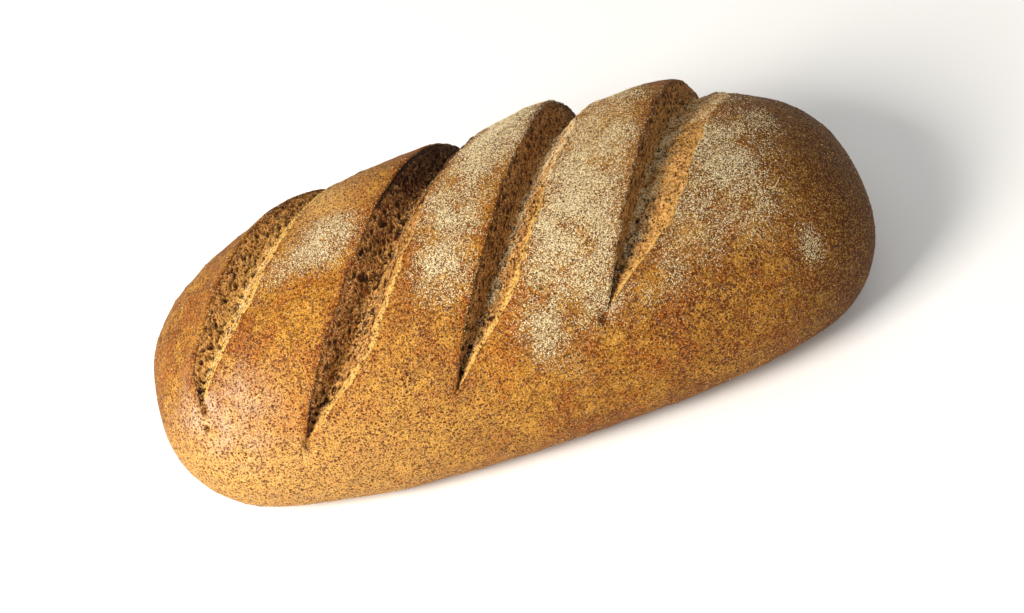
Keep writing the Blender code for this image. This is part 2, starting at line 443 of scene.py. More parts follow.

# torn crumb that baked in the open cut: dry and matt, dark brown on the wall, tan on the band, with painted
# shade in its pores and light on the films between them, and yellow where the skin tore last
crumbFinish = {
    "fields": ("bake", "film", "orange", "cream", "pore", "flour", "skin"),
    "noises": {"patchy": 5 * mm, "fine": 1.6 * mm},
    "cells": {"grain": 0.5 * mm, "fleck": 1.5 * mm},
    "base": "#C08640",  # tan
    "layers": (
        ("#813E11", 1.0, ("bake", 0, 1)),
        ("#D29A50", 1.0, ("orange", 0, 1)),
        ("#8A5420", 0.5, ("patchy", 0.5, 0.64)),
        ("#5E3412", 0.6, ("fine", 0.52, 0.68)),
        ("#BC8438", 1.0, ("skin", 0, 1)),
        ("#CE9A50", 1.0, ("film", 0, 1)),
        ("#D8A754", 1.0, ("cream", 0, 1)),
        ("#E2B878", 0.55, ("grainTone", 0.6, 1.0)),
        ("#32190A", 0.75, ("grainTone", 0.42, 0.05)),
        # painted shade in the pores, bubble hollows and grooves between the threads, and under the lip, at
        # the top and in the tail of the cut
        ("#2A1407", 1.0, ("pore", 0, 1)),
        ("#4A1F0A", 0.9, ("fleck", 0.42, 0.3), ("fleckTone", 0.5, 0.54)),
        ("#E6CFA0", 0.95, ("dusted", -0.05, 0.2)),
    ),
    "rises": {"fine": 2.0, "grain": -1.2},
    "relief": 0.25 * mm, "roughness": 0.8, "gloss": 0.15,
}


def makeGrainMaterial(name, dark, light, roughness):
    # bran, semolina, flour, straw or the lip of a crack: matt, in shades between dark and light, by a random
    # number that each grain carries, or by a field across a strip, which paints one side of a strip dark as
    # its shade
    material, shader = newMaterial(name, Roughness=roughness, IOR=1.45)
    shade = addNode(material, "Attribute", attribute_name="shade").outputs["Fac"]
    mix = addNode(material, "Mix", {0: shade, 6: colour(dark), 7: colour(light)}, data_type="RGBA")
    material.node_tree.links.new(mix.outputs[2], shader.inputs["Base Color"])
    return material


# The crust

crust = {
    # rings at the left and the right tip and on the strips between the slashes, and columns round the section
    "tipRings": (62, 76), "stripRings": (46, 36, 37),
    "domeColumns": 236, "bellyColumns": 27, "baseColumns": 30,
    "edge": 1.5 * mm,  # how thick the crust shows at a lip
    "recess": 3 * mm,  # from the torn crumb down to the crust's own surface below it
    "before": 1.2 * mm,  # from the last ring of a strip to the lip
    # how dark each slash's lip has baked and how wide that is, and how dark its border has
    "lipBaked": ((0.6, 2.4 * mm), (0.85, 3.4 * mm), (0.65, 1.8 * mm), (0.4, 1.1 * mm)),
    "borderBaked": (0.9, 0.9, 0.5, 0.6),
    "borderReach": 3 * mm,
    # each unevenness: its height, its size and its seed; then the blisters' height, their cells' size, their
    # radius, and the share of the cells that have none
    "uneven": ((0.75 * mm, 34 * mm, 1), (0.32 * mm, 9 * mm, 2), (0.16 * mm, 2.6 * mm, 3)),
    "blisters": (0.35 * mm, 7 * mm, 2.2 * mm, 0.72),
    "tearDepth": 1.1 * mm, "scarHeight": 0.3 * mm,
    "mostFlour": 0.56,  # the flour's field goes up to this, however much lies there
    # places as in "flour" below: a painted whitish sheen, golden, redder crust, crowded bran, small tears
    # past the slashes, and light-coloured scars there
    "paintedSheen": ((-129, -42, 8, 14, 0.4), (-110, -46, 10, 13, 0.3), (-118, -66, 12, 11, 0.15)),
    "golden": ((52, 6, 10, 16, 0.8), (62, 26, 8, 12, 0.5), (-10, 14, 6, 8, 0.4), (-58, 24, 14, 14, 0.9)),
    "ruddy": ((-2, -50, 5, 10, 0.7), (-12, -62, 5, 8, 0.5), (55, 33, 5, 7, 0.5), (42, -28, 4, 9, 0.35),
              (-47, 20, 5, 14, 0.4), (-20, 12, 4, 12, 0.35), (-94, -58, 13, 12, 0.3)),
    "speckled": ((-38, -40, 4, 9, 0.9), (-48, -54, 4, 7, 0.9), (-20, -44, 9, 8, 0.7), (0, -58, 9, 6, 0.6),
                 (-84, -60, 5, 4, 0.8), (-30, -66, 10, 5, 0.6), (-104, -24, 4, 8, 0.7), (95, -48, 9, 6, 0.6),
                 (60, -66, 12, 5, 0.6), (-60, -72, 10, 5, 0.5), (118, -20, 6, 10, 0.6)),
    "tears": ((-127.5, -42, 0.9, 2.4, 1.2), (-129, -52, 0.9, 1.6, 1.2), (-93, -71, 1.2, 2.4, 0.8),
              (30.8, -58.5, 1.0, 1.8, 2.2)),
    "scars": ((-128.5, -46, 1.8, 9, 0.8), (-94, -72, 2.0, 7, 0.7), (18, -70, 2.2, 9, 0.35),
              (-83, -63, 2.4, 3, 0.8), (-84, -49, 1.0, 2, 0.8)),
    # x in mm, angle in degrees, half-lengths in mm and degrees, and how much flour lies there
    "flour": (
        (-61, 2, 9, 7, 0.8), (-74, 0, 10, 5, 0.42), (-88, -3, 8, 4, 0.25),
        (12, 17, 11, 9, 0.95), (-2, 5, 8, 7, 0.55), (-14, -8, 11, 8, 0.9), (-22, -26, 8, 8, 0.9),
        (24, 32, 10, 8, 0.6), (33, 50, 14, 12, 0.5),
        (56, 24, 9, 12, 0.15), (45, 8, 11, 12, 0.3), (35, -10, 11, 12, 0.75), (29, -26, 10, 10, 0.95),
        (19, -40, 9, 10, 0.9), (7, -56, 7, 8, 0.6), (15, -70, 7, 8, 0.12), (29, -50, 9, 9, 0.45),
        (70, 44, 12, 13, 0.25), (72, 24, 8, 14, 0.15), (60, 4, 7, 12, 0.25), (49, -14, 7, 12, 0.35),
        (40, -34, 6, 9, 0.4),
        (90, -5, 9, 11, 0.55), (103, -9, 10, 12, 0.55), (113, 6, 6, 11, 0.35), (86, -22, 12, 10, 0.5),
        (75, -36, 16, 11, 0.35), (98, -34, 10, 12, 0.4), (55, -52, 12, 8, 0.25), (117, -57, 4, 7, 0.5),
        (112, 30, 10, 14, 0.12), (-30, 60, 16, 10, 0.35), (-80, 45, 12, 12, 0.3),
    ),
}


def spots(x, degrees, places):
    # soft round spots: each falls off as a bell curve over its half-lengths, and they add up
    total = 0
    for centre, angle, length, width, much in places:
        away = ((x / mm - centre) / length) ** 2 + ((degrees - angle) / width) ** 2
        total = total + much * np.exp(-away * 0.7)
    return total


def evenSteps(start, end, count):
    # how far along a tip each of this many rings is, the same distance apart over the skin's top and side
    near = np.linspace(0, 1, 4000) ** 3
    x = start + (end - start) * near
    fraction = x / loaf["halfLength"]
    y = loaf["halfWidth"] * superellipse(fraction, loaf["planExponent"])
    z = loaf["domeHeight"] * superellipse(fraction, loaf["sideExponent"])
    walked = np.append(0, np.cumsum(np.sqrt(np.diff(x) ** 2 + np.diff(y) ** 2 / 2 + np.diff(z) ** 2 / 2)))
    even = np.linspace(0, 1, count + 1)[1:]
    return np.interp(even, walked / walked[-1], (x - start) / (end - start))


def crustGrid():
    # each ring's x and height over the plain skin, and how much it is lip, border and cut edge, round the
    # loaf. The strips of crust swell towards the lips. At a lip the crust turns down and under by its
    # thickness, runs below the torn crumb, and comes up at the border.
    dome = np.linspace(-90, 90, crust["domeColumns"] + 1)
    back = 90 + 30 * np.arange(1, crust["bellyColumns"] + 1) / crust["bellyColumns"]
    base = np.linspace(120, 180, crust["baseColumns"] + 1)[1:]
    front = 180 + 30 * np.arange(1, crust["bellyColumns"]) / crust["bellyColumns"]
    turn = np.concatenate([dome, back, base, front])
    lines = [slashLines(i, turn) for i in range(len(slashes))]
    rings = []

    def addRings(x, height, lipSide=0.0, borderSide=0.0, cutEdge=0.0):
        rings.append([value + 0 * turn for value in (x, height, lipSide, borderSide, cutEdge)])

    def lipReach(x, i):
        # how dark the crust bakes at this lip, fading as a bell curve to its left
        much, width = crust["lipBaked"][i]
        return much * np.exp(-((lines[i]["lip"] - x) / width) ** 2) * lines[i]["parted"]

    def borderReach(x, i):
        # the same at this border, to its right
        away = (x - lines[i]["border"]) / crust["borderReach"]
        return crust["borderBaked"][i] * np.exp(-away ** 2) * lines[i]["parted"]

    tip = loaf["halfLength"]
    crown = crust["domeColumns"] // 2
    for along in evenSteps(-tip, lines[0]["lip"][crown] - crust["before"], crust["tipRings"][0])[:-1]:
        x = -tip + (lines[0]["lip"] - crust["before"] + tip) * along
        addRings(x, lines[0]["lipHeight"] * along**4, lipReach(x, 0))
    for i, line in enumerate(lines):
        parted = line["parted"]
        wide, toFoot = line["border"] - line["lip"], line["foot"] - line["lip"]
        # the profile through the parted cut
        much = crust["lipBaked"][i][0]
        lipTurn = ((-1.2, 0.03), (-0.4, 0.0), (0.3, 0.14), (0.6, 0.4), (0.5, 0.75), (0.1, 1.0))
        profile = [(line["lip"] + x * mm, line["lipHeight"] - below * crust["edge"], much, 0, below > 0.1)
                   for x, below in lipTurn]
        profile += [(line["lip"] + across * toFoot, tornRelief(line, across) - crust["recess"], 0, 0, 0)
                    for across in (0.35, 0.7, 1.0)]
        profile += [(line["foot"] + beyond * (wide - toFoot), tornRelief(line, 1 + beyond) - crust["recess"],
                     0, 0, 0) for beyond in (0.35, 0.75)]
        profile += [(line["border"] + x * mm, line["rimHeight"] - below * mm, 0, crust["borderBaked"][i], 0)
                    for x, below in ((-0.1, 1.6), (-0.1, 0.35), (0.3, 0.05), (1.2, 0.0))]
        for shut, (x, height, *sides) in zip(np.linspace(-1.2, 1.6, len(profile)), profile):
            closed = line["lip"] + shut * mm
            addRings(closed + (x - closed) * parted, height * parted, *(side * parted for side in sides))
        if i + 1 < len(lines):
            following = lines[i + 1]
            count = crust["stripRings"][i]
            start, end = rings[-1][0], following["lip"] - crust["before"]
            swell = following["lipHeight"] - line["rimHeight"]
            for along in np.arange(1, count) / count:
                x = start + (end - start) * along
                height = line["rimHeight"] + swell * np.sin(along * np.pi / 2)
                addRings(x, height, lipReach(x, i + 1), borderReach(x, i))
    line = lines[-1]
    start = rings[-1][0]
    for along in (1 - evenSteps(tip, start[crown], crust["tipRings"][1]))[::-1][1:]:
        x = start + (tip - start) * along
        addRings(x, line["rimHeight"] * (1 - along) ** 2, 0.0, borderReach(x, len(lines) - 1))
    return *np.array(rings).transpose(1, 0, 2), turn


def makeCrust(material):
    # the form plus noise along the normal: broad unevenness, dimples, fine roughness and blisters, which all
    # fade out on the base, and the small tears and scars. The fields of colour go with them.
    x, height, lipNear, borderNear, cutEdge, turn = crustGrid()
    turn = np.broadcast_to(turn, x.shape)
    angle, down, across = section(turn)
    degrees = np.where(down > 0, 90 * across, np.degrees(angle))
    skin = plainSkin(x, turn)
    rough = 1 - 0.85 * smoothStep(0.7, 1.0, down)  # the base baked flat on the stone
    blisterHeight, blisterCells, blisterRadius, blisterFree = crust["blisters"]
    away, tag = cells(skin, blisterCells, 5)
    blister = np.maximum(1 - (away / blisterRadius) ** 2, 0) ** 2 * (tag > blisterFree)
    uneven = sum(high * noise(skin, size, seed, 2) for high, size, seed in crust["uneven"])
    height = height + rough * (uneven + blisterHeight * blister)

    def marks(kind):
        # the soft spots of one kind, on the dome alone
        return spots(x, degrees, crust[kind]) * (down == 0)

    tear = np.minimum(marks("tears"), 1.2)
    scar = marks("scars") * (0.7 + noise(skin, 2 * mm, 24, 2))
    height = height - crust["tearDepth"] * tear + crust["scarHeight"] * scar
    tip = loaf["halfLength"]
    keep = smoothStep(0.0, 0.02, 1 - np.abs(x) / tip)  # the noise fades out at the two tips
    points = raised(x, turn, height * keep)
    points[..., 2] = np.maximum(points[..., 2], 0)
    clumps = 0.6 + 0.75 * noise(skin, 9 * mm, 20, 3)
    patches = spots(x, degrees, crust["flour"]) * (down < 0.05) * clumps
    flour = crust["mostFlour"] * (1 - np.exp(-1.7 * np.maximum(patches, 0)))
    flour = flour * (1 - 0.3 * lipNear) * (1 - np.minimum(tear, 1))
    flour = flour + 0.04 * (down < 0.3) + 0.06 * (down > 0.95)
    dotted = smoothStep(-0.1, 0.4, noise(skin, 2.2 * mm, 23, 2))
    ruddy = 0.75 + 0.5 * noise(skin, 9 * mm, 21, 2)
    fields = {
        "flour": flour,
        # browned at the lips, past the borders and on the base, with painted shade in the small tears
        "bakedAndShade": lipNear * ruddy + borderNear * dotted + 0.3 * smoothStep(0.6, 1.0, down) + 0.8 * tear,
        # darker to the right, partly browner crust and partly painted shade of the light falling off; painted
        # shade in the tears and on the edge turned down into a cut
        "dark": 0.16 * smoothStep(-20 * mm, 90 * mm, x) + 0.74 * smoothStep(88 * mm, 140 * mm, x)
        + tear + 0.4 * cutEdge * dotted,
        # the front of the left end lighter, partly lighter crust and partly painted light from the key at the
        # left front, with the scars and golden spots
        "paleAndLit": 0.75 * smoothStep(30 * mm, -130 * mm, x) * smoothStep(-10, -90, degrees) * (1 - tear) + scar
        + marks("golden"),
        "ruddy": marks("ruddy") * (0.7 + 0.8 * noise(skin, 4 * mm, 26, 2)),
        "speckled": (marks("speckled")
                     + 0.6 * smoothStep(10 * mm, 60 * mm, x) * smoothStep(-30, -60, degrees))
        * (0.7 + 1.2 * noise(skin, 5 * mm, 27, 2)),
        # the painted sheen, a highlight painted in at the left end
        "paintedSheen": spots(x, degrees, crust["paintedSheen"]) * (0.8 + 0.8 * noise(skin, 6 * mm, 25, 2)) * (1 - tear),
    }
    fields = {key: np.clip(values, 0, 1) for key, values in fields.items()}
    ends = np.array([[-tip, 0, loaf["bellyHeight"]], [tip, 0, loaf["bellyHeight"]]])
    piece = closedSurface("crust", points, material, fields, ends)
    return piece, points, fields["flour"], np.clip(cutEdge, 0, 1)


# The torn crumb in the slashes

torn = {
    "along": 600, "across": 124, "keel": 5,  # rings, columns of the top and columns of the underside
    "lipSide": -0.16, "borderSide": 2.1,  # where it ends: 0 is the lip and 2 the border
    "tuck": 1.2 * mm,  # how far it reaches under the crust on both sides
    "thickness": 2 * mm,
    "lean": 30,  # degrees that the crumb's fibres lean off the cut
    "stretch": 1.9,  # how much longer than wide its bubbles are
    # small bubbles everywhere: their cells' size, the share of cells that have one, and their depth
    "bubbles": ((1.9 * mm, 0.5, 0.9 * mm), (1.1 * mm, 0.6, 0.5 * mm)),
    # how high the slow swells, the threads and the fine roughness are, how deep a pore is, and how high its
    # rim and the cream edge are
    "swells": 0.9 * mm, "threads": 0.2 * mm, "fine": 0.25 * mm,
    "poreDepth": 1.3 * mm, "rimHeight": 0.35 * mm, "creamHeight": 0.5 * mm,
}
# each slash's own crumb: how dark its wall and its band are, how far across the dark reaches and from which
# angle it covers the band too; its cream edge in mm and the angle it goes up to; how light the rest is; flour
# on its foot, and flour on its band with the angle that this comes down to; how orange the band is; its large
# bubbles' cells in mm, their share and depth; the angle above which the band runs into the crust without an
# edge; and the pores that show, as x in mm, angle in degrees and size in mm
crumbs = (
    {"wallBake": 0.6, "bandBake": 0.0, "reach": 0.25, "darkFrom": 60, "cream": 1.4, "creamTo": -20,
     "light": 0.9, "flour": 0.25, "dusty": (0.06, -2),
     "orange": 0.0, "foam": 2.4, "share": 0.22, "pit": 0.9, "softFrom": -14,
     "pores": ((-122, -22, 1.6), (-119, -13, 1.8), (-114, -8, 1.6), (-108, 2, 1.8), (-121, -14, 1.4))},
    {"wallBake": 0.85, "bandBake": 0.4, "reach": 0.75, "darkFrom": 3, "cream": 2.2, "creamTo": -12,
     "light": 0.0, "flour": 0.05, "dusty": (0.0, 0),
     "orange": 0.1, "foam": 3.2, "share": 0.4, "pit": 1.1, "softFrom": 99,
     "pores": ((-27, 5, 3.8), (-30.5, 4, 3.2), (-39, 1.5, 2.2), (-42, -7, 3.4), (-45.5, -14, 4.6),
               (-52.5, -15, 3), (-51, -16, 2.4), (-48.5, -18, 2.6), (-50, -8, 2.4), (-56, -24, 3.2),
               (-59.5, -25, 2.4), (-43, -10, 1.4), (-70, -42, 3), (-62, -32, 1.8), (-60, -33, 2))},
    {"wallBake": 0.58, "bandBake": 0.2, "reach": 0.9, "darkFrom": 42, "cream": 1.6, "creamTo": -10,
     "light": 0.0, "flour": 0.3, "dusty": (0.4, -5),
     "orange": 0.1, "foam": 2.6, "share": 0.12, "pit": 0.7, "softFrom": -5,
     "pores": ((-10, -46, 2.0), (8, -18, 1.6))},
    {"wallBake": 0.38, "bandBake": 0.1, "reach": 0.7, "darkFrom": 60, "cream": 0.8, "creamTo": -10,
     "light": 0.0, "flour": 0.42, "dusty": (0.35, 12),
     "orange": 0.75, "foam": 2.2, "share": 0.2, "pit": 0.5, "softFrom": 99,
     "pores": ()},
)


def makeTorn(index, material):
    # a thick strip over the cut. Its top is the torn relief with a foam of pores and films, strands and
    # single pores pressed in, and its sides tuck under the crust. Past the ends of the cut it sinks out of
    # sight.
    slash, crumb = slashes[index], crumbs[index]
    turn = np.linspace(slash["front"] - 1.5, slash["back"] + 1.5, torn["along"])[:, None]
    across = np.linspace(torn["lipSide"], torn["borderSide"], torn["across"])[None, :]
    lines = slashLines(index, turn)
    wall = (lines["foot"] - lines["lip"]) * np.clip(across, 0, 1)
    wall = wall - torn["tuck"] * np.clip(across / torn["lipSide"], 0, 1)
    band = (lines["border"] - lines["foot"]) * np.clip(across - 1, 0, 1)
    past = torn["tuck"] * np.clip((across - 2) / 0.1, 0, 1)
    x = lines["lip"] + wall + band + past
    parted = lines["parted"]
    relief = tornRelief(lines, across)
    degrees = turn + 0 * x
    # flat coordinates that follow the cut, for what is stretched along it
    along = degrees * skinPerDegree
    step = np.hypot(np.diff(x, axis=1, prepend=x[:, :1]), np.diff(relief, axis=1, prepend=relief[:, :1]))
    off = np.cumsum(step, axis=1)
    flat = np.stack([along, off, 0 * x + index * 90 * mm], axis=-1)
    lean = np.radians(torn["lean"])
    fibres = np.stack([
        (along * np.cos(lean) - off * np.sin(lean)) / torn["stretch"],
        along * np.sin(lean) + off * np.cos(lean) + 0.5 * mm * noise(flat, 5 * mm, 30),
        flat[..., 2],
    ], axis=-1)
    inside = smoothStep(0.02, 0.25, across) * smoothStep(2.02, 1.85, across)
    hollow, rim, dents, pore = (0 * x for _ in range(4))
    layers = ((crumb["foam"] * mm, crumb["share"], crumb["pit"] * mm),) + torn["bubbles"]
    for layer, (size, share, depth) in enumerate(layers):
        # bowls in some of the cells, of different widths, that meet in thin walls; the large ones are on the
        # band alone
        nearest, tag = cells(fibres, size, 40 + 4 * layer + index)
        width = size * (0.3 + 0.3 * ((tag * 7.3) % 1))
        chosen = (tag < share) * (1 if layer else smoothStep(0.5, 1.0, across))
        bowl = np.maximum(1 - (nearest / width) ** 2, 0) ** 0.5 * chosen
        dents = dents + depth * bowl
        hollow = np.maximum(hollow, bowl * (1.0, 0.9, 0.7)[layer])
        film = np.exp(-((nearest / width - 1.15) / 0.2) ** 2) * chosen
        rim = np.maximum(rim, film * (0.9, 0.6, 0.4)[layer])
    for centre, angle, size in crumb["pores"]:
        there = slashLines(index, np.array([float(angle)]))
        # a pore opens wide across the band, and long down the wall
        beyond = smoothStep(-1.5 * mm, 1.5 * mm, centre * mm - there["foot"])
        alongPore = (along - angle * skinPerDegree) / ((0.68 - 0.24 * beyond) * size * mm)
        acrossPore = (x - lines["lip"] - (centre * mm - there["lip"])) / ((0.52 + 0.5 * beyond) * size * mm)
        away = np.sqrt(alongPore**2 + acrossPore**2) * (1 + 0.25 * noise(flat, 1.2 * mm, 32, 2))
        pore = np.maximum(pore, np.maximum(1 - away**2, 0) ** 0.5)
        rim = np.maximum(rim, 0.9 * np.exp(-((away - 1.25) / 0.25) ** 2))
    threads = noise(fibres, 0.8 * mm, 31, 2)
    creamWidth = crumb["cream"] * mm * (1 + 0.6 * noise(flat, 4 * mm, 36, 2))
    creamWidth = creamWidth * (1 + smoothStep(-20, -45, degrees))
    cream = smoothStep(-0.6 * mm, 0.6 * mm, x - lines["border"] + creamWidth) * smoothStep(1.2, 1.6, across)
    cream = cream * smoothStep(crumb["creamTo"] + 14, crumb["creamTo"] - 14, degrees)
    # the stretched skin is smoother than the crumb
    coarse = (1 - 0.7 * crumb["orange"] * smoothStep(1.2, 1.6, across)) * (1 - 0.8 * cream)
    relief = relief + inside * parted * (
        torn["swells"] * noise(flat, 6 * mm, 33, 2)
        + torn["threads"] * threads * coarse
        + torn["fine"] * noise(flat, 0.9 * mm, 34, 2) * coarse
        - dents * coarse
        - torn["poreDepth"] * pore
        + torn["rimHeight"] * rim
        + torn["creamHeight"] * cream
    )
    # the sides go below the crust's edge at the lip and, where the band has an edge, at the border; above
    # softFrom the band rises to run over into the crust. Past the ends of the cut all of it sinks.
    underLip = 0.35 * smoothStep(0.4, 0.1, across) + 0.6 * smoothStep(0.06, -0.1, across)
    soft = smoothStep(crumb["softFrom"] - 8, crumb["softFrom"] + 8, degrees)
    relief = relief - crust["edge"] * parted * underLip
    relief = relief - (1 - soft) * mm * smoothStep(1.96, 2.1, across)
    relief = relief - 0.3 * mm * soft * smoothStep(2.04, 2.1, across)
    relief = relief + (0.4 * soft * smoothStep(1.5, 2.0, across) - 0.15) * mm
    relief = relief - 2.2 * mm * (1 - parted)
    top = raised(x, degrees, relief)
    under = np.linspace(torn["across"] - 2, 1, torn["keel"]).astype(int)
    keelHeight = (tornRelief(lines, across) - torn["thickness"] - 1.2 * mm * (1 - parted))[:, under]
    keelHeight = np.minimum(keelHeight, relief[:, under] - 0.4 * mm)
    keel = raised(x[:, under], degrees[:, under], keelHeight)
    points = np.concatenate([top, keel], axis=1)
    # the wall baked dark, and so did the band towards the top; painted shade under the lip, at the top and in
    # the tail of the cut is drawn with the pores' painted shade
    dark = np.maximum(
        smoothStep(crumb["reach"] + 0.35, crumb["reach"] - 0.35, across + 0.35 * noise(flat, 6 * mm, 35, 2)),
        0.9 * smoothStep(crumb["darkFrom"] - 12, crumb["darkFrom"] + 12, degrees))
    tone = crumb["bandBake"] + (crumb["wallBake"] - crumb["bandBake"]) * dark
    shaded = 0.45 * smoothStep(0.32, 0.0, across)
    shaded = shaded + 0.75 * smoothStep(crumb["darkFrom"] - 5, crumb["darkFrom"] + 20, degrees)
    tail = smoothStep(slash["front"] + 24, slash["front"] + 8, degrees)
    shaded = shaded + 0.6 * tail * smoothStep(1.4, 1.0, across)
    dusty = crumb["dusty"][0] * smoothStep(crumb["dusty"][1] - 8, crumb["dusty"][1] + 8, degrees)
    orange = crumb["orange"] * smoothStep(1.25, 1.6, across) * smoothStep(16, 2, degrees)
    fields = {
        "bake": tone * (1 + 0.45 * noise(fibres, 1.8 * mm, 37, 2))
        * (1 - 0.35 * smoothStep(-20, -50, degrees)),
        "film": (0.75 * rim + 0.2 * smoothStep(0.1, 0.5, threads))
        * (0.3 + 0.7 * smoothStep(0.15, 0.9, across)),
        "cream": 0.8 * cream + crumb["light"] * smoothStep(0.4, 1.0, across),
        # painted shade: in the pores, hollows and grooves, and the shaded parts under the lip, at the top and
        # in the tail
        "pore": (pore + (hollow + 0.25 * smoothStep(-0.15, -0.5, threads)) * coarse) * inside + shaded,
        "orange": orange,
        "flour": (crumb["flour"] * np.exp(-((across - 1.1) / 0.3) ** 2) * (1 - 0.8 * tail)
                  + dusty * smoothStep(1.2, 1.8, across)) * (0.8 + noise(flat, 3 * mm, 38, 2)),
        "skin": 0.85 * soft * smoothStep(1.35, 1.85, across + 0.3 * noise(flat, 5 * mm, 39, 2)),
    }
    full = {key: np.concatenate([np.clip(value + 0 * x, 0, 1), np.zeros(keelHeight.shape)], axis=1)
            for key, value in fields.items()}
    closedSurface("tornSlash" + str(index + 1), points, material, full)
    return top, full["flour"][:, :torn["across"]]


# Hairline cracks, where the thin skin has curled up along one side, and a bit of straw baked on. Each has its
# half-width and height in mm, and the points that it runs through, as x in mm and angle in degrees.

peels = {
    "crackLeft": (0.34, 0.14, ((-112, -62), (-112, -75), (-117, -82))),
    "crackTail": (0.34, 0.14, ((-100, -66), (-98, -71), (-95, -75))),
    "crackMiddle": (0.34, 0.14, ((-57, -71), (-53, -74), (-48, -74), (-46, -80))),
    "crackUpper": (0.34, 0.14, ((-48, -65), (-46, -69), (-46, -73))),
    "crackLower": (0.32, 0.14, ((-49, -84), (-51, -89))),
    "crackBase": (0.32, 0.14, ((-72, -84), (-71, -87), (-73, -89))),
    "crackRight": (0.36, 0.16, ((73, -59), (76, -58), (80, -62))),
    "straw": (0.35, 0.5, ((109, -27), (111, -26), (114, -22))),
}
# the dark colour of a crack or the straw is painted shade on one side of its strip
peelColours = {"crack": ("#B98038", "#331706"), "straw": ("#EBD29A", "#B98A45")}  # light and dark


def makePeel(name, tree, material):
    # a strip with a low pointed section that runs along a curve through the points, thins out at both ends,
    # and lies on the crust where a ray from above it meets it; one side is painted dark as its shade and the
    # other light
    half, height, path = peels[name]
    steps = np.linspace(0, 1, 40)
    fitted = np.polyfit(np.linspace(0, 1, len(path)), np.array(path, dtype=float), len(path) - 1)
    x, degrees = (np.polyval(column, steps) for column in fitted.T)
    above = raised(x * mm, degrees, 12 * mm + 0 * x)
    inwards = -skinNormal(x * mm, degrees)
    spine = np.array([tree.ray_cast(Vector(a), Vector(b))[0] for a, b in zip(above, inwards)])
    forwards = np.gradient(spine, axis=0)
    side = np.cross(forwards, inwards)
    side /= np.linalg.norm(side, axis=-1, keepdims=True)
    swell = np.sin(np.pi * (0.06 + 0.88 * steps))[:, None, None] ** 0.7 * mm
    around = np.array(((-1, -0.3), (-0.1, 0.6), (0.5, 1), (1, -0.1), (0, -0.6)))[None]
    sideways = half * around[..., :1] * side[:, None]
    upwards = -height * around[..., 1:] * inwards[:, None]
    points = spine[:, None] + swell * (sideways + upwards)
    # painted shade on one side of the strip, and its light colour on the other
    shade = np.array((0.0, 0.0, 0.9, 0.6, 0.0)) * np.ones((len(steps), 1))
    closedSurface(name, points, material, {"shade": shade})


# What lies on the loaf: flakes of bran in the skin, grains of semolina and dust of flour. Size and thick are
# half-measures in mm, and sunk is how much of thick a grain's middle lies below the skin.

grainTilt = 0.22  # how far the grains lean off the skin
grainWidth = 0.8  # how wide they are, against their length
scatters = {
    "branFlakes": {"count": 19500, "sides": 5, "size": (0.28, 0.66), "thick": (0.08, 0.14), "sunk": 0.35,
                   "dark": "#32150A", "light": "#74401C", "roughness": 0.6, "seed": 101},
    "semolina": {"count": 24500, "sides": 4, "size": (0.18, 0.32), "thick": (0.15, 0.26), "sunk": -0.5,
                 "dark": "#C9A768", "light": "#F3E6BE", "roughness": 0.5, "seed": 102},
    "flourDust": {"count": 31500, "sides": 3, "size": (0.12, 0.22), "thick": (0.08, 0.15), "sunk": -0.5,
                  "dark": "#C9BB9A", "light": "#F2E9CF", "roughness": 0.8, "seed": 103},
}


